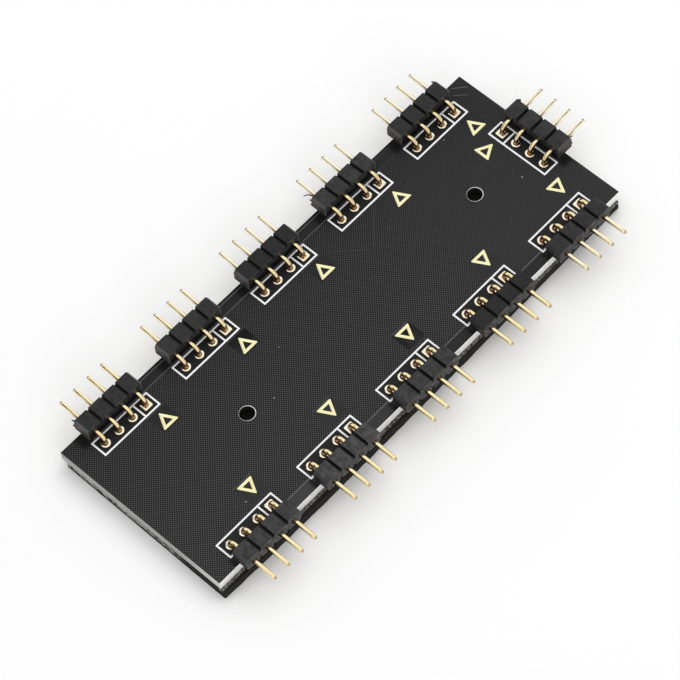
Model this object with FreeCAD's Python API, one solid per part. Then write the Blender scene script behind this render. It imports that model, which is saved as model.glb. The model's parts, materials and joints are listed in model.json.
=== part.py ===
import FreeCAD, Part
import math
import os

from FreeCAD import Vector

# Fan lighting hub: a bare circuit board with ten output ports along its sides, one input port
# at its far end and a foam adhesive pad below. Sizes are in millimetres.
# X runs across the board, Y along it towards the input port and Z up. The origin is on the
# underside of the adhesive pad, below the middle of the board.

# Port layout
pin_pitch = 2.54
pins_per_port = 4
ports_per_side = 5
port_pitch = 15.24           # from one output port to the next along a side
row_spacing = 22.86          # between the left and right rows of lands
left_row_inset = 3.5         # left row of lands from the left edge of the board
right_row_inset = 2.77       # right row of lands from the right edge
input_row_inset = 3.17       # input row of lands from the far end
end_margin = 8.77            # middle of the first and last output ports from the ends of the board

# Circuit board
board_thickness = 1.6
screw_hole_diameter = 2.2
screw_hole_spacing = 45.0    # along the middle of the board
screw_hole_shift = 3.7       # middle of the two holes towards the input port
land_diameter = 1.4
land_thickness = 0.05
land_square = 1.4            # side of the square land of pin 1
drill_clearance = 0.05       # around the corners of a pin
round_sides = 12             # flats of a drilled hole or a round land

# Right-angle port
housing_depth = 2.54
housing_height = 2.54
housing_setback = 1.8        # row of lands to the rear face of the housing
groove_mouth = 0.5           # snap-off groove between two ways
groove_floor = 0.26
groove_depth = 0.42
pin_thickness = 0.64
pin_reach = 3.95             # in front of the housing
tip_length = 0.45
tip_thickness = 0.34
bend_radius = 0.7            # inside of the bend
bend_steps = 4               # flats round the bend
tail_length = 0.8            # below the board

# Adhesive pad, cut by hand: its edges from the edges of the board, outwards positive
pad_thickness = 1.45
pad_over_right_near = 0.6
pad_over_right_far = 0.2
pad_over_left_near = -0.5
pad_over_left_far = 0.0
pad_over_near_right = 0.22
pad_over_near_left = -0.05
pad_over_far = -0.35
dent_clearance = 0.15        # foam around the tails of the pins

# Values worked out from those above
board_width = left_row_inset + row_spacing + right_row_inset
board_length = (ports_per_side - 1) * port_pitch + 2 * end_margin
board_top = pad_thickness + board_thickness
left_row_x = left_row_inset - board_width / 2
right_row_x = board_width / 2 - right_row_inset
input_row_y = board_length / 2 - input_row_inset
pin_diagonal = pin_thickness * math.sqrt(2)
drill_diameter = pin_diagonal + 2 * drill_clearance
pin_axis_height = housing_height / 2
housing_front = housing_setback + housing_depth


def polygon(points):
    return Part.makePolygon(points + [points[0]])


def pin_places(pin_one_end=-1):
    # Distances of the pins from the middle of their port along its row, from pin 1 on.
    first = pin_one_end * (pins_per_port - 1) * pin_pitch / 2
    return [first - pin_one_end * index * pin_pitch for index in range(pins_per_port)]


def output_places():
    # Distances of the output ports from the middle of the board, from the near end on.
    first = end_margin - board_length / 2
    return [first + index * port_pitch for index in range(ports_per_side)]


# A port is modelled with its row of lands along X, its pins pointing to +Y and Z from the top
# of the board. Its name goes with its place, its turn about Z and the end of its row, as a sign
# along the port's own X, where pin 1 is.
def all_ports():
    ports = []
    for number, y in enumerate(output_places(), 1):
        ports.append((f"left_port_{number}", Vector(left_row_x, y, board_top), 90, 1))
        ports.append((f"right_port_{number}", Vector(right_row_x, y, board_top), -90, -1))
    ports.append(("input_port", Vector(0, input_row_y, board_top), 0, -1))
    return ports


def placed(shape, place, turn, along=0):
    # Slides a copy along the port's row, then turns and moves it to the port's place.
    copy = shape.copy()
    copy.translate(Vector(along, 0, 0))
    copy.rotate(Vector(0, 0, 0), Vector(0, 0, 1), turn)
    copy.translate(place)
    return copy


# Moulded housing: a strip snapped off in the middle of a groove at each end, with a groove
# between two ways on top and below, and a square hole for each pin.
def housing_side(level, inward):
    # Points along one grooved face, from the -X end to the +X end.
    floor = level + inward * groove_depth
    points = []
    for index in range(pins_per_port + 1):
        x = (index - pins_per_port / 2) * pin_pitch
        before = [(x - groove_mouth / 2, level), (x - groove_floor / 2, floor)]
        after = [(x + groove_floor / 2, floor), (x + groove_mouth / 2, level)]
        if index == 0:
            before = [(x, floor)]
        if index == pins_per_port:
            after = [(x, floor)]
        points += before + after
    return [Vector(x, housing_setback, z) for x, z in points]


def pin_square(size, middle_x, y):
    half = size / 2
    corners = [(-half, -half), (half, -half), (half, half), (-half, half)]
    return polygon([Vector(middle_x + x, y, pin_axis_height + z) for x, z in corners])


def make_housing():
    below = housing_side(0, 1)
    above = housing_side(housing_height, -1)
    outline = polygon(below + above[::-1])
    holes = [pin_square(pin_thickness, x, housing_setback) for x in pin_places()]
    section = Part.makeFace([outline] + holes, "Part::FaceMakerBullseye")
    return section.extrude(Vector(0, housing_depth, 0))


# Square pin: straight through the housing, bent down over the land and on through the board.
# It is where its side view and its plan, each with the tapered tip, meet.
def make_pin():
    half = pin_thickness / 2
    tip_half = tip_thickness / 2
    tip_y = housing_front + pin_reach
    taper_y = tip_y - tip_length
    tail_z = -board_thickness - tail_length

    def bend(radius):
        # Points round the bend, from the housing's side down to the tail.
        points = []
        for step in range(bend_steps + 1):
            angle = math.radians(90 + 90 * step / bend_steps)
            y = half + bend_radius + radius * math.cos(angle)
            z = pin_axis_height - half - bend_radius + radius * math.sin(angle)
            points.append((y, z))
        return points

    tip_above = [(tip_y, pin_axis_height + tip_half), (taper_y, pin_axis_height + half)]
    tip_below = [(taper_y, pin_axis_height - half), (tip_y, pin_axis_height - tip_half)]
    side_view = tip_above + bend(bend_radius + pin_thickness)
    side_view += [(-half, tail_z), (half, tail_z)] + bend(bend_radius)[::-1] + tip_below
    plan = [(half, taper_y), (tip_half, tip_y), (-tip_half, tip_y), (-half, taper_y)]
    plan += [(-half, -half), (half, -half)]

    bent_bar = Part.Face(polygon([Vector(-half, y, z) for y, z in side_view]))
    straight_bar = Part.Face(polygon([Vector(x, y, tail_z) for x, y in plan]))
    bent_bar = bent_bar.extrude(Vector(pin_thickness, 0, 0))
    straight_bar = straight_bar.extrude(Vector(0, 0, housing_height - tail_z))
    return bent_bar.common(straight_bar).Solids[0]


# Upright prism for a small round, with its diameter across the flats.
def small_round(diameter, bottom, height):
    radius = diameter / 2 / math.cos(math.pi / round_sides)
    angles = [2 * math.pi * (side + 0.5) / round_sides for side in range(round_sides)]
    corners = [Vector(radius * math.cos(angle), radius * math.sin(angle), bottom) for angle in angles]
    return Part.Face(polygon(corners)).extrude(Vector(0, 0, height))


# Board with a drilled hole for each pin and two screw holes on its middle line.
def make_board():
    board = Part.makeBox(board_width, board_length, board_thickness,
                         Vector(-board_width / 2, -board_length / 2, pad_thickness))
    drill = small_round(drill_diameter, -board_thickness, board_thickness)
    cuts = []
    for name, place, turn, pin_one_end in all_ports():
        cuts += [placed(drill, place, turn, x) for x in pin_places(pin_one_end)]
    for side in (-1, 1):
        middle = Vector(0, screw_hole_shift + side * screw_hole_spacing / 2, pad_thickness)
        cuts.append(Part.makeCylinder(screw_hole_diameter / 2, board_thickness, middle))
    return board.cut(Part.makeCompound(cuts)).Solids[0]


# Plated lands around the holes: round, and square at pin 1.
def make_lands():
    hole = small_round(drill_diameter, 0, land_thickness)
    disc = small_round(land_diameter, 0, land_thickness)
    corner = Vector(-land_square / 2, -land_square / 2, 0)
    tile = Part.makeBox(land_square, land_square, land_thickness, corner)
    lands = []
    for name, place, turn, pin_one_end in all_ports():
        for number, x in enumerate(pin_places(pin_one_end), 1):
            land = tile if number == 1 else disc
            lands.append(placed(land.cut(hole), place, turn, x))
    return Part.makeCompound(lands)


# Foam pad, a little askew, with a dent pressed into it by the tails of each port.
def make_pad():
    right = board_width / 2
    end = board_length / 2
    corners = [
        Vector(-right - pad_over_left_near, -end - pad_over_near_left, 0),
        Vector(right + pad_over_right_near, -end - pad_over_near_right, 0),
        Vector(right + pad_over_right_far, end + pad_over_far, 0),
        Vector(-right - pad_over_left_far, end + pad_over_far, 0),
    ]
    pad = Part.Face(polygon(corners)).extrude(Vector(0, 0, pad_thickness))
    width = land_diameter + 2 * dent_clearance
    length = (pins_per_port - 1) * pin_pitch + width
    depth = tail_length + dent_clearance
    dent = Part.makeBox(length, width, depth, Vector(-length / 2, -width / 2, -board_thickness - depth))
    dents = [placed(dent, place, turn) for name, place, turn, pin_one_end in all_ports()]
    return pad.cut(Part.makeCompound(dents)).Solids[0]


def save(shape, node):
    shape.exportStep(f"parts/{node}.step")


os.makedirs("parts", exist_ok=True)
save(make_pad(), "adhesive_pad")
save(make_board(), "circuit_board")
save(make_lands(), "plated_lands")

housing = make_housing()
pin = make_pin()
for port, place, turn, pin_one_end in all_ports():
    save(placed(housing, place, turn), f"{port}_housing")
    for number, x in enumerate(pin_places(pin_one_end), 1):
        save(placed(pin, place, turn, x), f"{port}_pin_{number}")
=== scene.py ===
import bmesh
import bpy
import json
import math
import numpy as np
from mathutils import Euler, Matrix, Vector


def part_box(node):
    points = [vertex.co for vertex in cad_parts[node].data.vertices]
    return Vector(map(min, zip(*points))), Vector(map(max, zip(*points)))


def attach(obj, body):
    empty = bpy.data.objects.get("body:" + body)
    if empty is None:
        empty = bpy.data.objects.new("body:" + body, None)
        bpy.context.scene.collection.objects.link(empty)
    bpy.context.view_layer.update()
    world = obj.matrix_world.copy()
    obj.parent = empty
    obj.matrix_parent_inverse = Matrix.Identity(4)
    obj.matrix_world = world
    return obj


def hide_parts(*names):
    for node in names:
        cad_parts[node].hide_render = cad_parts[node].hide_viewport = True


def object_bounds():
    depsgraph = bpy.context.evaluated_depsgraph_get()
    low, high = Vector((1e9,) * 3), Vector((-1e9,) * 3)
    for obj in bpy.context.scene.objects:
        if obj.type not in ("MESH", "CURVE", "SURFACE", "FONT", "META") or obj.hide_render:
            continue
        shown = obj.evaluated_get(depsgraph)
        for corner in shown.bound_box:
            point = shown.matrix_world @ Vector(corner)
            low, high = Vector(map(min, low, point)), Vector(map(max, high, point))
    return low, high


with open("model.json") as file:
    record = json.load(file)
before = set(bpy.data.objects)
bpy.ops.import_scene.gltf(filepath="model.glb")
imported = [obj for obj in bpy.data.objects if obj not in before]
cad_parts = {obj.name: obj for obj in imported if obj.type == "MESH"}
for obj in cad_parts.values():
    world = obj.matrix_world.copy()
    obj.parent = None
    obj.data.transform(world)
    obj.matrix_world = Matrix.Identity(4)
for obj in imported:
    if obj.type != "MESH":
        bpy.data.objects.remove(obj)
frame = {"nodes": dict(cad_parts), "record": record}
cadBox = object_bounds()
mm = 0.001  # shapes below are worked out in millimetres
print("frame loaded:", len(frame["nodes"]), "CAD nodes")


# Where everything sits is read from the CAD nodes.
def nodeBox(node):
    low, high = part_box(node)
    return np.array(low) / mm, np.array(high) / mm


outwardOf = {"left": (-1, 0, 0), "right": (1, 0, 0), "input": (0, 1, 0)}
portNames = [f"{side}_port_{number}" for side in ("left", "right") for number in range(1, 6)]
portNames.append("input_port")
boardLow, boardHigh = nodeBox("circuit_board")
boardTop = boardHigh[2]
boardThickness = boardHigh[2] - boardLow[2]


def portPlace(port):
    # A port's own axes: along its row, outward and up, from the middle of its row of lands on
    # top of the board. The inner face of a pin is half a pin behind its land.
    side = port.split("_")[0]
    outward = np.array(outwardOf[side], float)
    along = np.cross(outward, (0, 0, 1))
    boxes = [nodeBox(f"{port}_pin_{number}") for number in range(1, 5)]
    middles = np.array([(low + high) / 2 for low, high in boxes])
    size = boxes[0][1] - boxes[0][0]
    thickness = abs(along @ size)
    length = abs(outward @ size)
    origin = middles.mean(0) - outward * (length - thickness) / 2
    origin[2] = boardTop
    return {
        "side": side,
        "origin": origin,
        "along": along,
        "outward": outward,
        "pinOffsets": (middles - origin) @ along,
        "pinThickness": thickness,
        "pinReach": length - thickness / 2,
        "pinAxis": boxes[0][1][2] - thickness / 2 - boardTop,
        "tailDepth": boardTop - boxes[0][0][2],
    }


def onPort(place, along, outward, up):
    # Points given along a port's own axes, put on the board.
    along, outward, up = np.broadcast_arrays(along, outward, up)
    return (place["origin"] + along[..., None] * place["along"]
            + outward[..., None] * place["outward"] + up[..., None] * np.array([0, 0, 1]))


ports = {port: portPlace(port) for port in portNames}
print("ports placed:", len(ports))


# Mesh helpers
def gridQuads(rows, cols, aroundRows=False, aroundCols=False):
    # Quads of a rows by cols grid of points, closed on itself where asked.
    i = np.arange(rows if aroundRows else rows - 1)[:, None]
    j = np.arange(cols if aroundCols else cols - 1)[None, :]
    i, j = np.broadcast_arrays(i, j)
    iNext, jNext = (i + 1) % rows, (j + 1) % cols
    quads = np.stack([i * cols + j, i * cols + jNext, iNext * cols + jNext, iNext * cols + j], -1)
    return quads.reshape(-1, 4)


def tubeFaces(rows, cols):
    # Quads round a tube and a polygon over each end.
    ends = [list(range(cols)), list(range((rows - 1) * cols, rows * cols))]
    return gridQuads(rows, cols, aroundCols=True).tolist() + ends


def roundedOutline(corners, radius, steps):
    # A convex outline, anticlockwise, grown by radius: each corner plus an arc that turns from the
    # normal of the side before it to the normal of the side after it.
    corners = np.asarray(corners, float)
    side = np.roll(corners, -1, 0) - corners
    after = np.arctan2(-side[:, 0], side[:, 1])
    before = np.roll(after, 1)
    turn = (after - before) % (2 * math.pi)
    angle = before[:, None] + turn[:, None] * np.linspace(0, 1, steps)
    arc = np.stack([np.cos(angle), np.sin(angle)], -1)
    return (corners[:, None] + radius * arc).reshape(-1, 2)


def boxOutline(halfLength, halfDepth, radius, steps=4):
    # A rectangle drawn in by radius on each side, then grown by it with rounded corners.
    corners = np.array([(-halfLength, -halfDepth), (halfLength, -halfDepth),
                        (halfLength, halfDepth), (-halfLength, halfDepth)])
    return roundedOutline(corners - np.sign(corners) * radius, radius, steps)


def smoothStep(low, high, x):
    # Nought up to low, one from high on and a smooth curve between.
    t = np.clip((x - low) / (high - low), 0, 1)
    return t * t * (3 - 2 * t)


def unit(vectors):
    # Each vector over its length.
    return vectors / np.linalg.norm(vectors, axis=-1, keepdims=True)


def wavyNoise(x, seed, waves, longest, shortest):
    # Sum of sines of random wavelength and phase, about -1 to 1.
    draw = np.random.default_rng(seed)
    length = np.exp(draw.uniform(math.log(shortest), math.log(longest), waves))
    phase = draw.uniform(0, 2 * math.pi, waves)
    total = np.sin(2 * math.pi * x[..., None] / length + phase).sum(-1)
    return total / math.sqrt(2 * waves)


def collect(parts):
    # Joins grids of points and their quads into one mesh.
    points, faces, count = [], [], 0
    for grid, quads in parts:
        points.append(grid.reshape(-1, 3))
        faces += (quads + count).tolist()
        count += len(points[-1])
    return np.concatenate(points), faces


def putObject(name, data):
    thing = bpy.data.objects.new(name, data)
    bpy.context.scene.collection.objects.link(thing)
    return thing


def putPiece(name, points, faces, material, sharpAngle=40):
    mesh = bpy.data.meshes.new(name)
    mesh.from_pydata((np.asarray(points).reshape(-1, 3) * mm).tolist(), [], faces)
    shell = bmesh.new()
    shell.from_mesh(mesh)
    bmesh.ops.recalc_face_normals(shell, faces=shell.faces)
    shell.to_mesh(mesh)
    shell.free()
    mesh.shade_smooth()
    mesh.set_sharp_from_angle(angle=math.radians(sharpAngle))
    mesh.materials.append(material)
    piece = putObject(name, mesh)
    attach(piece, "root")
    return piece


# Material helpers
class Finish:
    # A material with short ways to add nodes, whose inputs are numbers, tuples or sockets. Its place is
    # in millimetres.
    def __init__(self, name):
        self.material = bpy.data.materials.new(name)
        self.material.use_nodes = True
        self.tree = self.material.node_tree
        self.shader = self.tree.nodes["Principled BSDF"]
        coords = self.add("TexCoord").outputs
        self.place = self.scale(coords["Object"], 1000)
        self.normal = coords["Normal"]

    def add(self, kind, inputs=(), **settings):
        node = self.tree.nodes.new(f"ShaderNode{kind}")
        for key, value in settings.items():
            setattr(node, key, value)
        for key, value in dict(inputs).items():
            self.feed(node.inputs[key], value)
        return node

    def feed(self, socket, value):
        if isinstance(value, bpy.types.NodeSocket):
            self.tree.links.new(value, socket)
        else:
            socket.default_value = value

    def math(self, operation, *values, clamp=False):
        return self.add("Math", enumerate(values), operation=operation, use_clamp=clamp).outputs[0]

    def times(self, first, *others):
        for other in others:
            first = self.math("MULTIPLY", first, other)
        return first

    def most(self, first, *others):
        for other in others:
            first = self.math("MAXIMUM", first, other)
        return first

    def scale(self, vector, amount):
        return self.add("VectorMath", {0: vector, "Scale": amount}, operation="SCALE").outputs[0]

    def split(self, vector):
        return self.add("SeparateXYZ", {0: vector}).outputs[:]

    def step(self, value, low, high, start=0, end=1, kind="SMOOTHSTEP"):
        inputs = enumerate((value, low, high, start, end))
        return self.add("MapRange", inputs, interpolation_type=kind).outputs[0]

    def noise(self, scale, detail=3, roughness=0.55, vector=None):
        inputs = {"Vector": vector or self.place, "Scale": scale, "Detail": detail, "Roughness": roughness}
        return self.add("TexNoise", inputs).outputs["Fac"]

    def blend(self, factor, first, second):
        return self.add("Mix", {0: factor, 6: first, 7: second}, data_type="RGBA").outputs[2]

    def bump(self, height, distance, strength):
        inputs = {"Height": height, "Distance": distance, "Strength": strength}
        return self.add("Bump", inputs).outputs[0]

    def set(self, **inputs):
        for key, value in inputs.items():
            self.feed(self.shader.inputs[key.replace("_", " ")], value)


def grey(level):
    return (level, level, level, 1)


# Print and pin 1 marks, which the board's hatch leaves clear
printShape = {
    "halfDepth": 1.27,
    "halfLength": 5.08,
    "line": 0.255,
    "corners": (0.08, 0.02),  # outside and inside of a box
    "shoulder": 0.03,
    "thickness": 0.025,
    "ringInner": 1.105,
    "ringOuter": 1.158,
    "ringShift": (0.008, 0.028),  # of the outer circle, so the ring is thin on one side
}
markShape = {
    "apex": {"left": 2.1, "right": 2.55, "input": 2.1},  # point of the mark from the row of lands
    "shift": {"left": 0.17, "right": -0.1, "input": 0.2},  # along the row, from pin 1
    "height": 2.5,
    "side": 2.72,
    "line": 0.42,
    "corners": (0.12, 0.02),  # outside and inside
    "thickness": 0.035,
    "gold": {"tone": (0.99, 0.93, 0.55, 1), "dull": (0.98, 0.88, 0.47, 1), "roughness": 0.25, "streak": 9.0,
             "metallic": 0.4},
}

# Circuit board: black mask over hatched copper, pale laminate on the cut edges
boardLook = {
    "hatchPitch": 0.3,
    "maskLow": (0.001, 0.001, 0.0011, 1),
    "maskHigh": (0.07, 0.07, 0.071, 1),
    "maskMean": (0.0275, 0.0275, 0.028, 1),
    # smooth mask, also the colour of the painted shadow beside the housings
    "smoothMaskAndShadow": (0.006, 0.006, 0.0064, 1),
    "paleMask": (0.05, 0.05, 0.0505, 1),
    "boxMask": (0.016, 0.016, 0.0165, 1),
    # the hatch fades towards the far end
    "fadeFrom": 8.0,
    "fadeTo": 32.0,
    "fadeLeft": 0.22,
    # fine lines along the board, painted as highlights on the edges of raised traces: their places from its
    # edges, and how far they stop before the line half a pitch beyond the last ports
    "leftTraces": (1.9, 0.45),
    "rightTrace": 1.7,
    "traceStop": 3.2,
    # painted highlight on the trace edges
    "traceHighlight": (0.11, 0.11, 0.113, 1),
    # clear patch round each mark: half its side, its shift from the mark and, from the near port to the
    # far one, how dark it is and how bright its left edge is
    "patchHalf": 1.62,
    "patchShift": {"left": (-0.1, 0.18), "right": (0.1, 0.05)},
    "patchDark": {"left": (0.35, 1.0, 0.45, 0.0, 0.1), "right": (0.1, 0.15, 0.85, 0.1, 0.0)},
    "rims": {"left": (0.5, 0.6, 0.4, 0.0, 0.0), "right": (0.7, 0.6, 1.0, 0.0, 0.0)},
    "rim": (0.085, 0.083, 0.085, 1),
    # painted shadow beside the housings:
    "housingShadowLength": 1.3,  # length of the dark mask
    "laminate": (0.97, 0.97, 0.955, 1),
    "laminateStreak": (0.86, 0.86, 0.845, 1),
    "laminateDark": (0.58, 0.58, 0.57, 1),
    "laminateNear": (0.42, 0.42, 0.41, 1),
    "nearStreak": (0.3, 0.3, 0.29, 1),
    "nearRight": (0.62, 0.62, 0.6, 1),
    # painted shade on the walls inside the holes
    "holeWallShade": (0.02, 0.019, 0.016, 1),
    # dust on the mask: place and radius
    "specks": ((-3.76, -8.7, 0.11), (1.09, -14.8, 0.16), (3.01, 32.48, 0.17), (8.99, -28.44, 0.16),
               (-9.12, 30.04, 0.12), (-5.4, 14.6, 0.06), (6.1, -5.2, 0.06)),
    "dust": (0.3, 0.29, 0.3, 1),
    # scratches: ends, half width and strength
    "scratches": ((-14.05, 37.0, -12.58, 38.69, 0.05, 0.6), (-13.16, 36.31, -11.59, 37.73, 0.04, 0.6),
                  (-8.97, 15.64, -4.86, 11.18, 0.035, 0.2), (-8.35, 6.99, -5.05, 10.21, 0.035, 0.15)),
    "scratch": (0.2, 0.2, 0.2, 1),
}


def boardFinish():
    look = boardLook
    f = Finish("blackBoard")
    x, y = f.split(f.place)[:2]
    normalY, normalZ = f.split(f.normal)[1:]
    pitch = ports["left_port_2"]["origin"][1] - ports["left_port_1"]["origin"][1]
    portsEnd = 2.5 * pitch
    leftX = ports["left_port_1"]["origin"][0]
    rightX = ports["right_port_1"]["origin"][0]
    inputY = ports["input_port"]["origin"][1]
    foldedY = f.math("WRAP", y, pitch / 2, -pitch / 2)

    # hatch: two sets of parallel lines at 45 degrees to the edges
    lines = []
    for sign in (1, -1):
        run = f.math("MULTIPLY_ADD", y, sign, x)
        turns = f.math("DIVIDE", run, look["hatchPitch"] * math.sqrt(2))
        wave = f.math("PINGPONG", turns, 0.5)
        lines.append(f.step(wave, 0.33, 0.43))
    hatch = f.most(*lines)

    # no hatch in the printed boxes, beside the edges between the ports and round the marks
    def inside(value, middle, half, soft=0.05):
        away = f.math("ABSOLUTE", f.math("SUBTRACT", value, middle))
        return f.step(away, half - soft, half + soft, 1, 0)

    boxDepth, boxLength = printShape["halfDepth"], printShape["halfLength"]
    sideRows = f.most(inside(x, leftX, boxDepth), inside(x, rightX, boxDepth))
    boxes = f.most(f.times(sideRows, inside(foldedY, 0, boxLength)),
                   f.times(inside(y, inputY, boxDepth), inside(x, 0, boxLength)))
    alongEdges = inside(y, 0, portsEnd - look["traceStop"], 0.1)
    depth = f.step(y, look["fadeFrom"], look["fadeTo"], 1, look["fadeLeft"])
    leftLine, leftOuterLine = (boardLow[0] + inwards for inwards in look["leftTraces"])
    rightLine = boardHigh[0] - look["rightTrace"]
    leftBand = f.times(f.step(x, leftLine - 0.05, leftLine + 0.05, 1, 0), depth)
    bands = f.times(alongEdges, f.most(leftBand, f.step(x, rightLine - 0.05, rightLine + 0.05)))

    def portLevels(levels):
        # one level for each port of a side, chosen by the place along the board
        ramp = f.add("ValToRGB", {0: f.step(y, -portsEnd, portsEnd, kind="LINEAR")})
        ramp.color_ramp.interpolation = "CONSTANT"
        stops = ramp.color_ramp.elements
        for number, amount in enumerate(levels):
            stop = stops[number] if number < 2 else stops.new(number / len(levels))
            stop.position = number / len(levels)
            stop.color = grey(amount)
        return ramp.outputs[0]

    half = look["patchHalf"]
    toMark = {side: apex + markShape["height"] / 2 for side, apex in markShape["apex"].items()}
    markY = abs(ports["left_port_1"]["pinOffsets"][0])
    patches = f.times(inside(y, inputY - toMark["input"], half), inside(x, -markY, half))
    darkness, rims = [], []
    for side, markX in (("left", leftX + toMark["left"]), ("right", rightX - toMark["right"])):
        shiftX, shiftY = look["patchShift"][side]
        inRow = inside(foldedY, markY + shiftY, half)
        patch = f.times(inside(x, markX + shiftX, half), inRow)
        patches = f.most(patches, patch)
        darkness.append(f.times(patch, portLevels(look["patchDark"][side])))
        rim = inside(x, markX + shiftX - half, 0.07)
        rims.append(f.times(rim, inRow, portLevels(look["rims"][side])))
    darkness = f.times(f.math("ADD", *darkness), f.step(f.noise(0.45, 2), 0.3, 0.6, 0.45, 1))

    clear = f.most(boxes, bands, patches)
    hatchShown = f.times(hatch, f.math("SUBTRACT", 1, clear), depth)

    # painted shadow: the mask is painted dark beside one end of each housing, where the housing's shadow
    # falls
    shadowLength = look["housingShadowLength"]
    leftShadow = f.times(f.step(x, leftX - 1.5, leftX - 1.2, 1, 0),
                      inside(foldedY, -boxLength - shadowLength / 2, shadowLength / 2, 0.35))
    rightShadow = f.times(f.step(x, rightX + 1.2, rightX + 1.5),
                       inside(foldedY, -boxLength - shadowLength / 4, shadowLength / 4, 0.25))
    farShadow = f.times(f.step(y, inputY + 1.2, inputY + 1.5),
                     inside(x, boxLength + shadowLength / 2, shadowLength / 2, 0.35))

    # painted highlight: the edges of raised bus traces along both long edges, as fine bright lines
    def line(at, half):
        return inside(x, at, half, half * 0.6)

    traceHighlight = f.times(f.most(line(leftLine, 0.07), line(leftOuterLine, 0.07)), f.times(depth, depth))
    traceHighlight = f.most(traceHighlight, line(rightLine, 0.08))

    # shades over the hatch, from the lowest up; the left edge of a clear patch catches the light
    woven = f.blend(hatch, look["maskLow"], look["maskHigh"])
    top = f.blend(depth, look["maskMean"], woven)
    shades = (
        (f.most(patches, bands), "maskMean"),
        (f.times(bands, 0.3), "smoothMaskAndShadow"),
        (f.times(bands, f.step(x, 0, 1), f.step(y, -20, 8, 0.75, 0)), "paleMask"),
        (darkness, "smoothMaskAndShadow"),
        (boxes, "boxMask"),
        # painted shadow beside the housings
        (f.times(f.most(leftShadow, rightShadow, farShadow), 0.85), "smoothMaskAndShadow"),
        (f.times(f.math("ADD", *rims), 0.8), "rim"),
        (f.times(traceHighlight, alongEdges), "traceHighlight"),
    )
    for amount, shade in shades:
        top = f.blend(amount, top, look[shade])

    # painted sheen: the mask is a little paler towards the right and the near end, as reflections make it
    paintedSheen = f.step(x, -14, 14, 0.86, 1.22, "LINEAR")
    top = f.scale(top, f.times(paintedSheen, f.step(y, -38, 38, 1.02, 0.9, "LINEAR")))

    # dust and scratches
    flat = f.add("CombineXYZ", {0: x, 1: y}).outputs[0]
    for speckX, speckY, radius in look["specks"]:
        away = f.add("VectorMath", {0: flat, 1: (speckX, speckY, 0)}, operation="DISTANCE")
        speck = f.step(away.outputs["Value"], radius * 0.5, radius, 0.75, 0)
        top = f.blend(speck, top, look["dust"])
    for fromX, fromY, toX, toY, halfWidth, strength in look["scratches"]:
        middle = ((fromX + toX) / 2, (fromY + toY) / 2, 0)
        length = math.hypot(toX - fromX, toY - fromY)
        turn = -math.atan2(toY - fromY, toX - fromX)
        turned = f.add("VectorRotate", {"Vector": flat, "Center": middle, "Angle": turn},
                       rotation_type="Z_AXIS")
        runX, runY = f.split(turned.outputs[0])[:2]
        mark = f.times(inside(runX, middle[0], length / 2, 0.3), inside(runY, middle[1], halfWidth, 0.04))
        top = f.blend(f.times(mark, strength), top, look["scratch"])

    # cut edges: pale glass laminate in fine layers, greyer at the near end, painted dark as shade inside the
    # holes
    layered = f.add("VectorMath", {0: f.place, 1: (0.9, 0.9, 6)}, operation="MULTIPLY").outputs[0]
    fibre = f.noise(1, 4, vector=layered)
    cut = f.blend(f.step(fibre, 0.5, 0.75), look["laminate"], look["laminateStreak"])
    glint = f.noise(4.5, 2, 0.8)
    cut = f.blend(f.step(glint, 0.52, 0.62, 0, 0.75), cut, look["laminateDark"])
    nearCut = f.blend(f.step(fibre, 0.35, 0.7), look["laminateNear"], look["nearStreak"])
    nearCut = f.blend(f.step(x, 6, 14.5), nearCut, look["nearRight"])
    cut = f.blend(f.step(normalY, -0.9, -0.5, 1, 0), cut, nearCut)
    edges = [f.step(f.math("ABSOLUTE", at), far - 0.1, far - 0.05) for at, far in zip((x, y), boardHigh)]
    cut = f.blend(f.most(*edges), look["holeWallShade"], cut)
    upward = f.step(f.math("ABSOLUTE", normalZ), 0.4, 0.6)

    f.set(Base_Color=f.blend(upward, cut, top))
    grain = f.noise(9, 4)
    f.set(Roughness=f.math("MULTIPLY_ADD", grain, 0.2, 0.36), Specular_IOR_Level=0.12)
    relief = f.math("MULTIPLY_ADD", hatchShown, 0.9, f.times(grain, 0.2))
    f.set(Normal=f.bump(relief, 0.00002, 0.6))
    return f.material


boardMaterials = frame["nodes"]["circuit_board"].data.materials
boardMaterials.clear()
boardMaterials.append(boardFinish())
print("board finished")


# Front faces of the housings, across the board and along it at the input port
frontLeft = nodeBox("left_port_1_housing")[0][0]
frontRight = nodeBox("right_port_1_housing")[1][0]
frontInput = nodeBox("input_port_housing")[1][1]
housingDepth = frontInput - nodeBox("input_port_housing")[0][1]


# Gold finishes
goldLook = {
    "amber": (0.6, 0.3, 0.095, 1),
    # painted reflection on the pins at the left and far ports
    "paintedReflection": (0.98, 0.93, 0.77, 1),
    # painted shade on the pins' flanks near the housings
    "flankShade": (0.19, 0.08, 0.026, 1),
    "cutTip": (0.24, 0.125, 0.045, 1),
    # pins have a painted reflection left of the first or beyond the second place, and fully beyond the third
    "reflectionLeft": (10, 12),
    "reflectionFar": (20, 24),
    "reflectionFull": (-30, 5),
    "flankShadeReach": 2.2,
}


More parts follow.
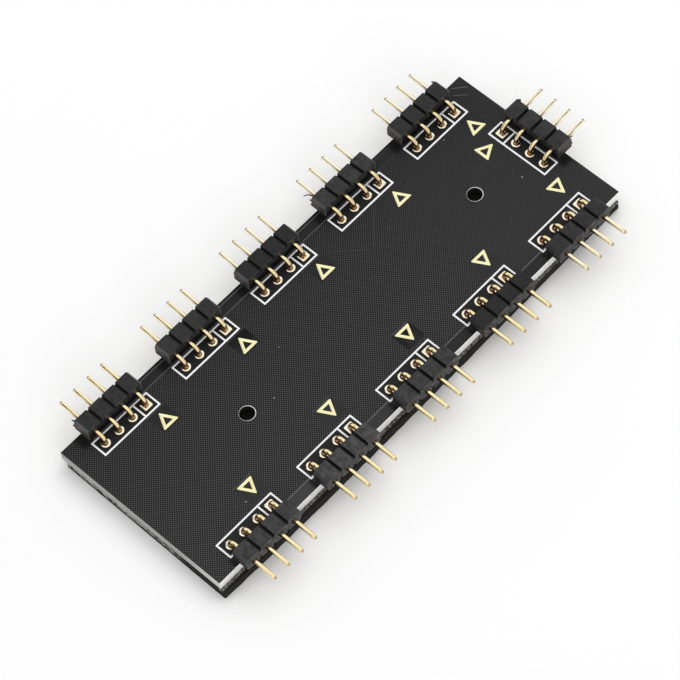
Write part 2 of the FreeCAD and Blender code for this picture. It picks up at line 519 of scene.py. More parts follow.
def goldFinish(name, tone, dull, roughness, streak, brown=(0.16, 0.06, 0.022, 1), brownTo=0,
               amberTo=0, metallic=1):
    # Plating that dulls in clouds and turns brown with old flux up to brownTo above the board. A pin, with
    # amberTo, is also amber up to that height; further out it has a painted pale reflection at the left and
    # far ports and painted brown shade on its flanks near the housings, and it is dark at its cut tip.
    look = goldLook
    f = Finish(name)
    x, y, z = f.split(f.place)
    cloud = f.noise(0.9)
    fine = f.noise(streak)
    colour = f.blend(f.step(cloud, 0.45, 0.75), tone, dull)
    if amberTo:
        ahead = f.most(f.math("SUBTRACT", frontLeft, x), f.math("SUBTRACT", x, frontRight),
                       f.math("SUBTRACT", y, frontInput))
        behind = f.step(ahead, -housingDepth, 0.4 - housingDepth, 1, 0)
        patchy = f.step(f.noise(1.7, 2), 0.35, 0.6, 0.55, 1)
        amber = f.times(f.step(z, boardTop + 0.2, boardTop + amberTo, 0.95, 0), behind, patchy)
        colour = f.blend(amber, colour, look["amber"])
        # painted reflection: in front of the housings pins are painted brighter at the left and far ports, as
        # they reflect the pale floor
        paintedReflection = f.most(f.step(x, *look["reflectionLeft"], 0.75, 0), f.step(y, *look["reflectionFar"], 0, 0.5))
        paintedReflection = f.times(paintedReflection, f.step(ahead, 0, 0.5), f.step(y, *look["reflectionFull"], 0.3, 1))
        colour = f.blend(paintedReflection, colour, look["paintedReflection"])
        # painted shade: flanks are painted brown up to the housing and a little in front of it, where they
        # mirror the dark housing and shadowed floor; they face along Y at the sides and along X at the input
        # port
        normalX, normalY = f.split(f.normal)[:2]
        atInput = f.step(y, frontInput - 5.2, frontInput - 5)
        atSides = f.math("SUBTRACT", 1, atInput)
        flankShade = f.math("ADD", f.times(f.math("ABSOLUTE", normalX), atInput),
                       f.times(f.math("ABSOLUTE", normalY), atSides))
        flankShade = f.times(f.step(flankShade, 0.3, 0.75), f.step(ahead, 0, look["flankShadeReach"], 1, 0))
        colour = f.blend(flankShade, colour, look["flankShade"])
        tipLeft, tipRight, tipFar = cadBox[0][0] / mm, cadBox[1][0] / mm, cadBox[1][1] / mm
        tips = f.most(f.step(x, tipLeft + 0.1, tipLeft + 0.42, 1, 0),
                      f.step(x, tipRight - 0.35, tipRight - 0.05, 0, 0.7),
                      f.step(y, tipFar - 0.42, tipFar - 0.1))
        colour = f.blend(f.times(tips, 0.9), colour, look["cutTip"])
    low = f.step(z, boardTop - 0.02, boardTop + brownTo, 1, 0)
    f.set(Base_Color=f.blend(low, colour, brown), Metallic=metallic)
    f.set(Roughness=f.math("MULTIPLY_ADD", fine, 0.06, roughness - 0.03))
    f.set(Normal=f.bump(fine, 0.0000015, 0.5))
    return f.material


# Bent pins
pinShape = {
    "edge": 0.25,  # rounding of the four long edges
    "edgeSteps": 7,
    "bendRadius": 0.7,  # inside of the bend
    "bendSteps": 12,
    "tipLength": 0.4,
    "tipScale": 0.55,
    "tipAt": (0, 0.12, 0.5, 0.85, 1.05, 1.3),  # in tip lengths from the end
    "tipGrowth": (-0.2, 0.1, 0.55, 0.9, 1, 1),  # from tipScale at nought to the full size at one
    "tailTip": 0.12,
    "tailScale": 0.7,
    "gold": {"tone": (0.96, 0.83, 0.5, 1), "dull": (0.93, 0.77, 0.41, 1), "roughness": 0.08, "streak": 6.0,
             "brownTo": 0.2, "amberTo": 1.75},
}
pinGold = goldFinish("pinGold", **pinShape["gold"])


def bentPin(place, offset):
    # A rounded square carried along the pin's centre line: straight in from the tip, round a quarter
    # circle over the land and straight down to the tail. It narrows over the tip, most at its end.
    shape = pinShape
    half = place["pinThickness"] / 2
    radius = half + shape["bendRadius"]
    axis = place["pinAxis"]
    tip = place["pinReach"]
    turn = np.linspace(0, math.pi / 2, shape["bendSteps"])
    tipOut = tip - shape["tipLength"] * np.array(shape["tipAt"])
    tipSize = shape["tipScale"] + (1 - shape["tipScale"]) * np.array(shape["tipGrowth"])
    out = np.concatenate([tipOut, radius - radius * np.sin(turn), [0, 0, 0]])
    up = np.concatenate([np.full(tipOut.size, axis), axis - radius + radius * np.cos(turn),
                         [0, -place["tailDepth"] + shape["tailTip"], -place["tailDepth"]]])
    slope = np.concatenate([np.zeros(tipOut.size), turn, np.full(3, math.pi / 2)])
    size = np.concatenate([tipSize, np.ones(shape["bendSteps"]), [1, 1, shape["tailScale"]]])
    profile = boxOutline(half, half, shape["edge"], shape["edgeSteps"])
    across = size[:, None] * profile[None, :, 0]
    above = size[:, None] * profile[None, :, 1]
    points = onPort(place, offset + across, out[:, None] - above * np.sin(slope)[:, None],
                    up[:, None] + above * np.cos(slope)[:, None])
    return points, tubeFaces(*points.shape[:2])


for port, place in ports.items():
    for number, offset in enumerate(place["pinOffsets"], 1):
        points, faces = bentPin(place, offset)
        pin = putPiece(f"{port}_pin_{number}_bent", points, faces, pinGold)
        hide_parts(f"{port}_pin_{number}")
print("pins made")


# Plated lands
landShape = {
    "outer": 0.7,
    "square": 0.7,
    "squareCorner": 0.16,
    "barrel": 0.35,  # inside of the plated hole, filled round the pin
    "flare": 0.02,  # of the barrel into the lip
    "lip": 0.41,  # where the flat top of the land starts
    "bevel": (0.06, 0.015, 0.012),  # of the rim: its start and end from the outline, and its drop
    "lift": 0.002,  # of the underside
    "tailGap": 0.02,  # from the barrel's end to the underside of the board
    "hole": 0.5,
    "thickness": 0.05,
    "gold": {"tone": (0.99, 0.92, 0.74, 1), "dull": (0.97, 0.85, 0.6, 1), "roughness": 0.12, "streak": 8.0,
             "brown": (0.4, 0.15, 0.05, 1), "brownTo": 0.045},
}
landGold = goldFinish("landGold", **landShape["gold"])


def platedLand(place, offset, isSquare):
    # A closed cross-section carried round the hole: up the barrel, over the lip, across the land to its
    # outline and back under it. The outline is a circle, or a square with rounded corners at pin 1.
    shape = landShape
    angle = np.linspace(0, 2 * math.pi, 40, endpoint=False)
    if isSquare:
        edge = boxOutline(shape["square"], shape["square"], shape["squareCorner"], 10)
        angle = np.arctan2(edge[:, 1], edge[:, 0])
        outer = np.hypot(edge[:, 0], edge[:, 1])
    else:
        outer = np.full(angle.shape, shape["outer"])
    # reach is from the middle of the hole, or on the rim from the outline
    top, barrel, hole = shape["thickness"], shape["barrel"], shape["hole"]
    flare, lip, lift = shape["flare"], shape["lip"], shape["lift"]
    start, end, drop = shape["bevel"]
    bottom = shape["tailGap"] - boardThickness
    reach = np.array([barrel, barrel, barrel + flare, lip, -start, -end, 0, hole, hole])[:, None]
    onRim = np.array([0, 0, 0, 0, 1, 1, 1, 0, 0])[:, None]
    up = np.array([bottom, -flare, flare / 2, top, top, top - drop, lift, lift, bottom])[:, None]
    radius = onRim * outer + reach
    points = onPort(place, offset + radius * np.cos(angle), radius * np.sin(angle), up)
    return points, gridQuads(*points.shape[:2], aroundRows=True, aroundCols=True)


parts = []
for place in ports.values():
    for number, offset in enumerate(place["pinOffsets"], 1):
        parts.append(platedLand(place, offset, number == 1))
points, faces = collect(parts)
lands = putPiece("lands_with_barrels", points, faces, landGold)
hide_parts("plated_lands")
print("lands made")


# Port housings
housingShape = {
    "corner": 0.06,
    # half widths of a groove at its floor, below its chamfer and at its mouth
    "grooveAt": (0.15, 0.19, 0.27),
    "grooveDepth": (0.5, 0.1, 0.0),
    "endSlope": 0.32,  # run and drop of the slope at a snapped end
    "endDrop": 0.5,
    "endStep": 0.06,  # from the top of that slope to its next row of points
    "holeHalf": 0.335,
    "endRings": (0.93, 0.7, 0.4),  # sizes of the rings across a torn end
    # the torn ends are partly painted light
    "endTornAndLit": 0.4,  # how torn they are, where the slope is one
    "rough": 0.05,
    "burrTaper": 0.3,
    # torn plastic at snapped ends, along the port's own axes: start, stop, radius and bow
    "burrs": {
        "left_port_1": [((-4.8, 4.1, 2.36), (-5.08, 4.66, 2.4), 0.14),
                        ((-4.9, 4.0, 1.35), (-5.15, 4.5, 1.35), 0.18)],
        "left_port_4": [((-4.6, 4.25, 2.42), (-5.46, 5.33, 2.42), 0.1, (0.15, 0.17, 0)),
                        ((-4.9, 4.2, 1.9), (-5.2, 4.5, 1.95), 0.13),
                        ((-4.9, 4.1, 0.9), (-5.2, 4.42, 0.85), 0.13)],
        "left_port_5": [((4.62, 4.2, 2.36), (4.5, 4.7, 2.38), 0.15)],
        "input_port": [((-4.75, 4.1, 2.28), (-4.42, 4.62, 2.28), 0.26),
                       ((4.75, 4.2, 2.4), (4.88, 4.74, 2.43), 0.11),
                       ((4.85, 4.1, 1.3), (5.13, 4.42, 1.3), 0.15)],
    },
    # how pale the snapped ends are painted, as torn plastic and as painted light on their lit slopes
    "pale": {"left": 0.85, "right": 0.1, "input": 0.6},
    # how pale the plastic is, from the near port to the far one
    "tone": {"left": (0.55, 0.69, 0.15, 1.09, 0.48), "right": (1.53, 2.2, 1.44, 0.2, 0.62), "input": (0.85,)},
}
plasticLook = {
    "blackLow": (0.009, 0.009, 0.0095, 1),
    "blackHigh": (0.026, 0.026, 0.0265, 1),
    # upright faces, painted darker than the tops as shade
    "upright": (0.008, 0.0075, 0.0075, 1),
    # pale mottle, partly painted sheen on lit upright faces
    "mottle": (0.12, 0.114, 0.112, 1),
    "ridge": (0.08, 0.078, 0.078, 1),
    # near black, painted into the grooves as shade
    "groove": (0.002, 0.002, 0.002, 1),
    # torn plastic, partly painted light on the lit slopes of snapped ends
    "tornLitLow": (0.05, 0.044, 0.044, 1),
    "tornLitHigh": (0.14, 0.125, 0.124, 1),
}


def plasticFinish():
    look = plasticLook
    f = Finish("portPlastic")
    x, z = f.split(f.place)[::2]
    grain = f.noise(16, 4, 0.6)
    cloud = f.noise(1.3, 4, 0.65)
    tornAndPaintedLight = f.add("Attribute", attribute_name="tornAndPaintedLight").outputs["Fac"]
    tone = f.add("Attribute", attribute_name="tone").outputs["Fac"]
    normalZ = f.split(f.normal)[2]
    upright = f.step(f.math("ABSOLUTE", normalZ), 0.3, 0.6, 1, 0)
    smooth = f.scale(f.blend(f.step(cloud, 0.35, 0.65), look["blackLow"], look["blackHigh"]), tone)
    # painted shade: upright faces are painted darker than the tops
    smooth = f.blend(f.times(upright, 0.8), smooth, look["upright"])
    # pale mottle on upright faces, partly rough texture and partly painted sheen where they are lit: the
    # fronts on the right are pale down to their feet, other upright faces only higher up
    fronts = f.step(x, frontRight - 0.535, frontRight - 0.235)
    lit = f.most(fronts, f.step(z, boardTop + 0.5, boardTop + 1.6))
    mottledSheen = f.times(f.step(f.noise(3, 3, 0.7), 0.48, 0.66), f.times(upright, lit))
    mottledSheen = f.times(mottledSheen, f.math("MULTIPLY_ADD", fronts, 0.45, 0.55))
    smooth = f.blend(mottledSheen, smooth, look["mottle"])
    # the upper edge of an upright face catches the light
    ridge = f.times(upright, f.step(z, boardTop + 2.15, boardTop + 2.35))
    ridge = f.times(ridge, f.math("MULTIPLY_ADD", fronts, -0.4, 0.7))
    smooth = f.blend(ridge, smooth, look["ridge"])
    # painted shade: grooves count below nought and are painted near black
    smooth = f.blend(f.math("MULTIPLY", tornAndPaintedLight, -1, clamp=True), smooth, look["groove"])
    # snapped ends: pale torn plastic, partly painted light
    tornLitColour = f.blend(f.step(grain, 0.35, 0.7), look["tornLitLow"], look["tornLitHigh"])
    f.set(Base_Color=f.blend(f.math("MULTIPLY", tornAndPaintedLight, 1, clamp=True), smooth, tornLitColour))
    f.set(Roughness=f.math("MULTIPLY_ADD", grain, 0.25, 0.42))
    shaded = f.times(upright, f.math("SUBTRACT", 1, lit))
    f.set(Specular_IOR_Level=f.math("MULTIPLY_ADD", shaded, -0.32, 0.4))
    f.set(Normal=f.bump(grain, 0.00003, 0.6))
    return f.material


portPlastic = plasticFinish()


def housing(port, place):
    # A rounded square section carried along the row. Its top and bottom dip into a groove between two
    # ways and slope down at the ends, the cells of the front and rear faces at each pin are left out, and
    # four walls join the two openings. The ends draw in to the middle over a torn surface.
    shape = housingShape
    low, high = nodeBox(f"{port}_housing")
    outward, along = place["outward"], place["along"]
    rear, front = sorted([(low - place["origin"]) @ outward, (high - place["origin"]) @ outward])
    tall = high[2] - boardTop
    length = abs((high - low) @ along)
    pitch = length / len(place["pinOffsets"])
    cuts = np.linspace(-length / 2, length / 2, len(place["pinOffsets"]) + 1)
    middles = np.sort(place["pinOffsets"])
    aroundCut = np.concatenate([-np.array(shape["grooveAt"]), shape["grooveAt"]])
    slopeFrom = length / 2 - shape["endSlope"]
    slopeNext = slopeFrom + shape["endStep"]
    stations = np.concatenate([(cuts[1:-1, None] + aroundCut).ravel(), cuts[[0, -1]],
                               [-slopeFrom, -slopeNext, slopeFrom, slopeNext],
                               middles - shape["holeHalf"], middles + shape["holeHalf"]])
    stations = np.unique(stations.round(6))
    fromCut = np.abs((stations + length / 2 + pitch / 2) % pitch - pitch / 2)
    fromEnd = length / 2 - np.abs(stations)
    slope = shape["endDrop"] * (1 - fromEnd / shape["endSlope"])
    groove = np.interp(fromCut, shape["grooveAt"], shape["grooveDepth"])
    dip = np.where(fromEnd < pitch / 2, np.maximum(slope, 0), groove)

    # section points in order: rear opening, rear top, front top, front opening, front foot, rear foot
    arc = np.linspace(0, math.pi / 2, 4)
    r = shape["corner"]
    axis, hole = place["pinAxis"], shape["holeHalf"]
    out = np.concatenate([[rear, rear], rear + r - r * np.cos(arc), front - r + r * np.sin(arc),
                          [front, front], front - r + r * np.cos(arc), rear + r - r * np.sin(arc)])
    fixed = np.concatenate([[axis - hole, axis + hole], -r + r * np.sin(arc), -r + r * np.cos(arc),
                            [axis + hole, axis - hole], r - r * np.sin(arc), r - r * np.cos(arc)])
    level = np.repeat([0, 1, 0, -1], [2, 8, 2, 8])
    up = fixed[None] + np.where(level > 0, tall - dip[:, None], np.where(level < 0, dip[:, None], 0))
    rows, cols = up.shape
    row, out = np.broadcast_arrays(stations[:, None], out)

    # torn ends: rings that shrink to the middle of the end face
    seed = portNames.index(port)
    shrink = np.array(shape["endRings"])[:, None]
    ringCount = len(shrink)
    spot = np.arange(cols) / cols * 9 + np.arange(ringCount)[:, None] * 5
    middleOut, middleUp = (rear + front) / 2, tall / 2
    rings = [(row, out, up)]
    for end in (-1, 1):
        edgeRow = 0 if end < 0 else rows - 1
        tear = shape["rough"] * wavyNoise(spot, seed * 2 + (end > 0), waves=9, longest=4, shortest=0.7)
        ringOut = middleOut + (out[edgeRow] - middleOut) * shrink
        ringUp = middleUp + (up[edgeRow] - middleUp) * shrink
        ringRow = end * (length / 2 + tear)
        if end < 0:
            rings.insert(0, (ringRow[::-1], ringOut[::-1], ringUp[::-1]))
        else:
            rings.append((ringRow, ringOut, ringUp))
    row, out, up = (np.concatenate([ring[k] for ring in rings]) for k in range(3))
    points = onPort(place, row, out, up)
    quads = gridQuads(row.shape[0], cols, aroundCols=True)

    # openings for the pins
    rearCell, frontCell = 0, 10
    start = ringCount + np.searchsorted(stations, (middles - hole).round(6) - 1e-9)
    before, after = start * cols, (start + 1) * cols
    opened = np.concatenate([before + rearCell, before + frontCell])
    kept = quads[~np.isin(quads[:, 0], opened)]
    a = np.stack([before, before + 1, after + 1, after], -1) + rearCell
    b = np.stack([before + 1, before, after, after + 1], -1) + frontCell
    walls = np.stack([a, np.roll(a, -1, 1), np.roll(b, -1, 1), b], -1).reshape(-1, 4)
    faces = kept.tolist() + walls.tolist()
    total = row.shape[0] * cols
    faces += [list(range(cols)), list(range(total - cols, total))]

    # how torn the plastic is, partly painted light on lit slopes, and below nought in a groove, painted as
    # shade
    tornAndPaintedLight = np.full(row.shape, shape["endTornAndLit"])
    tornAndPaintedLight[ringCount:-ringCount] = (fromEnd < shape["endSlope"] - 0.01)[:, None]
    tornAndPaintedLight *= shape["pale"][place["side"]]
    grooved = (fromCut < shape["grooveAt"][1] + 0.01) & (fromEnd > pitch / 2)
    tornAndPaintedLight[ringCount:-ringCount] -= grooved[:, None] & (np.abs(level) > 0)
    return points.reshape(-1, 3), faces, tornAndPaintedLight.ravel()


def burr(place, start, stop, radius, bow=(0, 0, 0)):
    # A circle carried along a bowed line from start to stop, thinner towards its end.
    start, stop, bow = np.array(start), np.array(stop), np.array(bow)
    steps, sides = 9, 8
    share = np.linspace(0, 1, steps)[:, None]
    path = start + (stop - start) * share + 4 * bow * share * (1 - share)
    run = np.gradient(path, axis=0)
    side = unit(np.cross(run, (0, 0, 1)))
    other = unit(np.cross(side, run))
    turn = np.linspace(0, 2 * math.pi, sides, endpoint=False)[None, :, None]
    radii = radius * (1 - housingShape["burrTaper"] * share)[:, None]
    ring = path[:, None] + radii * (np.cos(turn) * side[:, None] + np.sin(turn) * other[:, None])
    points = onPort(place, *np.moveaxis(ring, -1, 0))
    return points.reshape(-1, 3), tubeFaces(steps, sides)


for port, place in ports.items():
    points, faces, tornAndPaintedLight = housing(port, place)
    for values in housingShape["burrs"].get(port, []):
        burrPoints, burrFaces = burr(place, *values)
        faces += [[corner + len(points) for corner in face] for face in burrFaces]
        points = np.concatenate([points, burrPoints])
        tornAndPaintedLight = np.concatenate([tornAndPaintedLight, np.zeros(len(burrPoints))])
    block = putPiece(f"{port}_block", points, faces, portPlastic, sharpAngle=35)
    block.data.attributes.new("tornAndPaintedLight", "FLOAT", "POINT").data.foreach_set("value", tornAndPaintedLight)
    number = int(port[-1]) if port[-1].isdigit() else 1
    tone = housingShape["tone"][place["side"]][number - 1]
    block.data.attributes.new("tone", "FLOAT", "POINT").data.foreach_set("value", np.full(len(tornAndPaintedLight), tone))
    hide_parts(f"{port}_housing")
print("housings made")


# Print on the board: boxes round the lands and rings round the screw holes
def printFinish():
    f = Finish("printWhite")
    ink = f.noise(6, 4)
    f.set(Base_Color=f.blend(f.step(ink, 0.3, 0.7), (0.94, 0.94, 0.94, 1), (0.99, 0.99, 0.99, 1)))
    f.set(Roughness=f.math("MULTIPLY_ADD", ink, 0.2, 0.45))
    f.set(Normal=f.bump(ink, 0.000008, 0.4))
    return f.material


def band(outer, inner, top):
    # Two outlines with the same number of points: a low strip between them, with rounded shoulders.
    inward = inner - outer
    width = np.linalg.norm(inward, axis=1, keepdims=True)
    step = inward / width * np.minimum(printShape["shoulder"], width / 3)
    rings = np.stack([outer, outer, outer + step, inner - step, inner, inner])
    up = np.array([0, top * 0.5, top, top, top * 0.5, 0])
    heights = np.broadcast_to(up[:, None], rings.shape[:2])
    quads = gridQuads(*rings.shape[:2], aroundRows=True, aroundCols=True)
    return rings[..., 0], rings[..., 1], heights, quads


half = printShape["line"] / 2
halfLength, halfDepth = printShape["halfLength"], printShape["halfDepth"]
outer = boxOutline(halfLength + half, halfDepth + half, printShape["corners"][0])
inner = boxOutline(halfLength - half, halfDepth - half, printShape["corners"][1])
along, outward, up, quads = band(outer, inner, printShape["thickness"])
# divider between pins 1 and 2: a low strip across the box
flat = half - printShape["shoulder"]
across = np.array([-half, -half, -flat, flat, half, half])[:, None]
lengthwise = np.array([half - halfDepth, halfDepth - half])[None]
lift = printShape["thickness"] * np.array([0, 0.5, 1, 1, 0.5, 0])[:, None]
stripQuads = gridQuads(across.size, lengthwise.size, aroundRows=True)
parts = []
for place in ports.values():
    parts.append((onPort(place, along, outward, up), quads))
    between = place["pinOffsets"][:2].mean()
    parts.append((onPort(place, between + across, lengthwise, lift), stripQuads))
turn = np.linspace(0, 2 * math.pi, 64, endpoint=False)
circle = np.stack([np.cos(turn), np.sin(turn)], -1)
outer = printShape["ringOuter"] * circle + printShape["ringShift"]
x, y, up, quads = band(outer, printShape["ringInner"] * circle, printShape["thickness"])
for mount in ("near_screw_hole", "far_screw_hole"):
    found = [m for m in frame["record"]["mounts"] if m["name"] == mount][0]
    holeAt = np.array(found["pos_m"]) / mm
    parts.append((np.stack([x + holeAt[0], y + holeAt[1], up + boardTop], -1), quads))
points, faces = collect(parts)
putPiece("printed_lines", points, faces, printFinish())
print("print made")


# Pin 1 marks: hollow triangles of bare plated copper, pointing at pin 1
markGold = goldFinish("markGold", **markShape["gold"])


def markOutline(inset, corner):
    # The triangle moved inwards by inset on each side, then rounded.
    shape = markShape
    base = shape["side"] / 2
    slant = math.hypot(base, shape["height"])
    draw = inset + corner
    tipBack = draw * slant / base
    baseIn = draw * (slant + base) / shape["height"]
    foot = draw - shape["height"]
    corners = [(-base + baseIn, foot), (base - baseIn, foot), (0, -tipBack)]
    return roundedOutline(corners, corner, 5)


outer = markOutline(0, markShape["corners"][0])
inner = markOutline(markShape["line"], markShape["corners"][1])
along, outward, up, quads = band(outer, inner, markShape["thickness"])
parts = []
for place in ports.values():
    row = along + place["pinOffsets"][0] + markShape["shift"][place["side"]]
    parts.append((onPort(place, row, outward - markShape["apex"][place["side"]], up), quads))
points, faces = collect(parts)
putPiece("pin_one_marks", points, faces, markGold)
print("marks made")


# Foam pad, cut by hand
padShape = {
    "corners": [(-14.065, -39.2), (15.495, -39.45), (15.035, 38.9), (-14.565, 38.9)],
    "bow": 0.33,  # of the right-hand edge, most at a third of its length from the near end
    "thickness": 1.45,
    "cols": 80,
    "rows": 200,
    "crowding": 0.75,  # how much closer the points are at the edges
    "waver": 0.1,
    "nearWaver": 0.4,  # share of it at the near end
    "pull": (0.12, 0.05),  # shares of the width and the length that give way to a cut
    "wallRings": 5,
    "wallIn": 0.06,  # mean hollow of the cut wall
    "seeds": (20, 40, 60),  # of the cuts above and below and of the wall
    "round": 0.3,  # of the corners
    "dentDepth": 0.95,
    "dentHalf": (4.735, 0.925),
    "dentSoft": 0.2,
    "foam": (0.013, 0.0125, 0.012, 1),
    "dust": (0.28, 0.27, 0.26, 1),
    "glueDark": (0.02, 0.019, 0.018, 1),
    "gluePale": (0.4, 0.4, 0.39, 1),
    # where dust lies: up from, across from and to; where glue shows: along to and across to
    "dustUp": (1.3, 1.42),
    "dustFrom": (14.2, 14.5),
    "dustTo": (14.95, 15.15),
    "glueAlong": (-38.9, -38.6),
    "glueAcross": (4, 9),
}


def foamFinish():
    look = padShape
    f = Finish("foamBlack")
    x, y, z = f.split(f.place)
    pores = f.noise(7, 5, 0.7)
    # dust lies in specks on the rim that shows at the right
    dust = f.step(f.noise(4.5, 3, 0.75), 0.45, 0.55, 0.05, 0.95)
    rim = f.times(f.step(z, *look["dustUp"]), f.step(x, *look["dustFrom"]), f.step(x, *look["dustTo"], 1, 0))
    colour = f.blend(f.times(rim, dust), look["foam"], look["dust"])
    # glue shows grey in patches at the near side, whose foot stays black up to a ragged line
    nearSide = f.times(f.step(y, *look["glueAlong"], 1, 0), f.step(x, *look["glueAcross"], 1, 0))
    patches = f.step(f.noise(1.5, 4, 0.65), 0.42, 0.56)
    ragged = f.math("MULTIPLY_ADD", f.noise(0.9, 4, 0.7), 1.2, -0.6)
    patches = f.times(patches, f.step(f.math("ADD", z, ragged), 0.4, 0.65))
    glue = f.blend(patches, look["glueDark"], look["gluePale"])
    f.set(Base_Color=f.blend(nearSide, colour, glue))
    f.set(Roughness=0.85, Specular_IOR_Level=0.2, Normal=f.bump(pores, 0.0001, 0.8))
    return f.material


def foamPad():
    # A sheet between four edges: a point at shares u across and v along is the blend of the four corners,
    # moved right by u v (1 - v) squared, scaled so that its most is the bow, and pulled in near an edge by
    # a wavering cut and near a corner onto an arc. The top sheet dips into a dent under each port, the
    # bottom sheet is flat and a wall joins their rims.
    shape = padShape
    nearLeft, nearRight, farRight, farLeft = (np.array(c) for c in shape["corners"])

    def crowded(count):
        # shares from nought to one, closer together at both ends
        even = np.linspace(0, 1, count)
        return even - shape["crowding"] * np.sin(2 * math.pi * even) / (2 * math.pi)

    width, length = nearRight[0] - nearLeft[0], farRight[1] - nearRight[1]
    cross, run = width * crowded(shape["cols"]), length * crowded(shape["rows"])
    # in a corner a square of points, seen from its inner corner, shrinks onto a quarter circle
    acrossIn = np.maximum(np.abs(cross - width / 2) - (width / 2 - shape["round"]), 0)[:, None]
    alongIn = np.maximum(np.abs(run - length / 2) - (length / 2 - shape["round"]), 0)[None]
    shrink = np.maximum(acrossIn, alongIn) / np.maximum(np.hypot(acrossIn, alongIn), 1e-9)
    u = (cross[:, None] - np.sign(cross - width / 2)[:, None] * acrossIn * (1 - shrink)) / width
    v = (run[None] - np.sign(run - length / 2)[None] * alongIn * (1 - shrink)) / length
    u, v = u[..., None], v[..., None]
    sheet = (nearLeft * (1 - u) + nearRight * u) * (1 - v) + (farLeft * (1 - u) + farRight * u) * v
    sheet[..., 0] += shape["bow"] * 27 / 4 * (u * v * (1 - v) ** 2)[..., 0]

    def cutIn(distance, seed):
        wave = np.clip(wavyNoise(distance, seed, waves=14, longest=20, shortest=1.2), -1, 1)
        return shape["waver"] * (0.5 + 0.5 * wave)

    sidePull, endPull = shape["pull"]

    def layer(seed):
        moved = sheet.copy()
        pull = 1 - smoothStep(0, sidePull, u[..., 0])
        moved[..., 0] += pull * cutIn(run, seed)[None]
        pull = smoothStep(1 - sidePull, 1, u[..., 0])
        moved[..., 0] -= pull * cutIn(run, seed + 1)[None]
        pull = 1 - smoothStep(0, endPull, v[..., 0])
        moved[..., 1] += shape["nearWaver"] * pull * cutIn(cross, seed + 2)[:, None]
        pull = smoothStep(1 - endPull, 1, v[..., 0])
        moved[..., 1] -= pull * cutIn(cross, seed + 3)[:, None]
        return moved

    topSeed, lowSeed, wallSeed = shape["seeds"]
    topSheet, lowSheet = layer(topSeed), layer(lowSeed)
    dent = np.zeros(topSheet.shape[:2])
    halfLength, halfDepth = shape["dentHalf"]
    soft = shape["dentSoft"]
    for place in ports.values():
        offset = topSheet - place["origin"][:2]
        alongRow = np.abs(offset @ place["along"][:2])
        outwardRow = np.abs(offset @ place["outward"][:2])
        inLength = 1 - smoothStep(halfLength - soft, halfLength + soft, alongRow)
        inDepth = 1 - smoothStep(halfDepth - soft, halfDepth + soft, outwardRow)
        dent = np.maximum(dent, inLength * inDepth)
    topZ = shape["thickness"] - shape["dentDepth"] * dent
    top = np.concatenate([topSheet, topZ[..., None]], -1)
    low = np.concatenate([lowSheet, np.zeros(topZ.shape)[..., None]], -1)
    cols, rows = topZ.shape
    index = np.arange(cols * rows).reshape(cols, rows)
    rim = np.concatenate([index[:-1, 0], index[-1, :-1], index[:0:-1, -1], index[0, :0:-1]])

    # wall: rings between the two rims, each a little in or out
    flatTop, flatLow = top.reshape(-1, 3)[rim], low.reshape(-1, 3)[rim]
    middle = flatTop.mean(0)
    levels = np.linspace(1, 0, shape["wallRings"] + 2)[1:-1]
    walk = np.cumsum(np.linalg.norm(flatTop - np.roll(flatTop, 1, 0), axis=1))
    wall = []
    for k, share in enumerate(levels):
        ring = flatTop * share + flatLow * (1 - share)
        inward = unit((middle - ring) * (1, 1, 0))
        hollow = 1 + wavyNoise(walk, wallSeed + k, waves=10, longest=9, shortest=1.1)
        wall.append(ring + inward * shape["wallIn"] * hollow[:, None])
    wall = np.concatenate(wall)
    points = np.concatenate([top.reshape(-1, 3), low.reshape(-1, 3), wall])
    sheetQuads = gridQuads(cols, rows)
    count = cols * rows
    wallIndex = 2 * count + np.arange(len(wall)).reshape(-1, rim.size)
    ringIndex = np.concatenate([rim[None], wallIndex, rim[None] + count])
    order = gridQuads(ringIndex.shape[0], rim.size, aroundCols=True)
    faces = np.concatenate([sheetQuads, sheetQuads[:, ::-1] + count, ringIndex.ravel()[order]])
    return points, faces.tolist()


points, faces = foamPad()
pad = putPiece("foam_pad", points, faces, foamFinish(), sharpAngle=50)
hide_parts("adhesive_pad")
print("pad made")


# Floor, light and camera
stageLook = {
    "floor": (0.97, 0.97, 0.97, 1),
    "floorHalf": 3.0,
    "skyLevel": 0.82,
    "lampPower": 2.5,
    "lampSize": 0.7,
    "lampAt": (-0.2, 0.55, 0.8),
    "fillPower": 1.3,
    "fillSize": 0.6,
    "fillAt": (0.9, -0.35, 0.4),
    "cameraAt": (0.184955, -0.160228, 0.415529),
    "cameraTurn": (30.1670276, 3.71778565, 42.93527275),
    "lens": 189.950119,
}


def paleFloor():
    f = Finish("paleFloor")
    mottle = f.noise(0.03)
    f.set(Base_Color=f.blend(mottle, grey(0.95), stageLook["floor"]))
    f.set(Roughness=0.8, Specular_IOR_Level=0.1)
    return f.material


def flatSheet(name, placesX, placesY, height, material, facing):
    # A flat grid over the given places, all at one height, that faces up (-1) or down (1).
    gridX, gridY = np.meshgrid(placesX, placesY, indexing="ij")
    points = np.stack([gridX, gridY, np.full(gridX.shape, height)], -1).reshape(-1, 3)
    mesh = bpy.data.meshes.new(name)
    mesh.from_pydata(points.tolist(), [], gridQuads(*gridX.shape)[:, ::facing].tolist())
    mesh.materials.append(material)
    return putObject(name, mesh)


side = stageLook["floorHalf"] * np.linspace(-1, 1, 3)
floor = flatSheet("floor", side, side, 0.0, paleFloor(), -1)

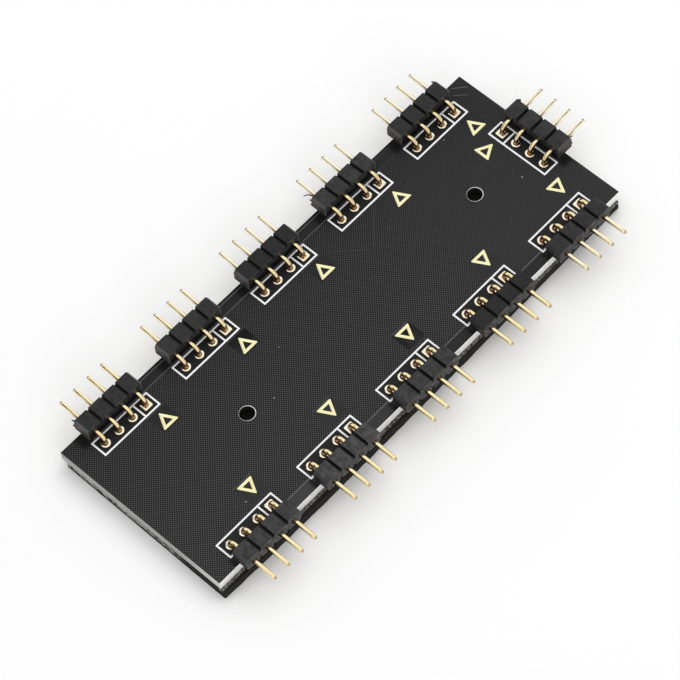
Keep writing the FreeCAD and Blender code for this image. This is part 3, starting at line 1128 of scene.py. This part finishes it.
# Two dark strips overhead, which only bright metal shows. They take no light from the object.
darkLook = {
    "strips": [((-0.4, -1.0), (-0.2095, 0.07)), ((-0.14, 0.228), (0.7, 0.3))],  # corners on plan
    "height": 0.42,
}
darkCloth = Finish("darkCloth")
weave = darkCloth.noise(0.02)
darkCloth.set(Base_Color=darkCloth.blend(weave, grey(0.06), grey(0.12)), Roughness=1)
for number, (low, high) in enumerate(darkLook["strips"]):
    strip = flatSheet(f"strip_{number}", (low[0], high[0]), (low[1], high[1]), darkLook["height"],
                      darkCloth.material, 1)
    strip.visible_camera = False
    strip.visible_diffuse = False
    strip.visible_shadow = False
    strip.visible_transmission = False

world = bpy.data.worlds.new("studio")
bpy.context.scene.world = world
world.use_nodes = True
tree = world.node_tree
sky = tree.nodes["Background"]
path = tree.nodes.new("ShaderNodeLightPath")
seen = path.outputs["Is Camera Ray"]
for ray in ("Is Glossy Ray", "Is Transmission Ray"):
    either = tree.nodes.new("ShaderNodeMath")
    either.operation = "MAXIMUM"
    tree.links.new(seen, either.inputs[0])
    tree.links.new(path.outputs[ray], either.inputs[1])
    seen = either.outputs[0]
level = tree.nodes.new("ShaderNodeMapRange")
level.inputs[3].default_value = stageLook["skyLevel"]
tree.links.new(seen, level.inputs[0])
tree.links.new(level.outputs[0], sky.inputs["Strength"])
sky.inputs["Color"].default_value = (1, 1, 1, 1)

for name in ("lamp", "fill"):
    lampData = bpy.data.lights.new(name, "AREA")
    lampData.energy = stageLook[f"{name}Power"]
    lampData.size = stageLook[f"{name}Size"]
    lamp = putObject(name, lampData)
    lamp.location = stageLook[f"{name}At"]
    lamp.rotation_euler = (-lamp.location).to_track_quat("-Z", "Y").to_euler()
    lamp.visible_glossy = False

cameraData = bpy.data.cameras.new("camera")
cameraData.lens = stageLook["lens"]
cameraData.sensor_width = 36
cameraData.clip_start = 0.01
camera = putObject("camera", cameraData)
camera.location = stageLook["cameraAt"]
camera.rotation_euler = Euler([math.radians(angle) for angle in stageLook["cameraTurn"]])
bpy.context.scene.camera = camera
bpy.context.scene.view_settings.view_transform = "Standard"
print("stage set")
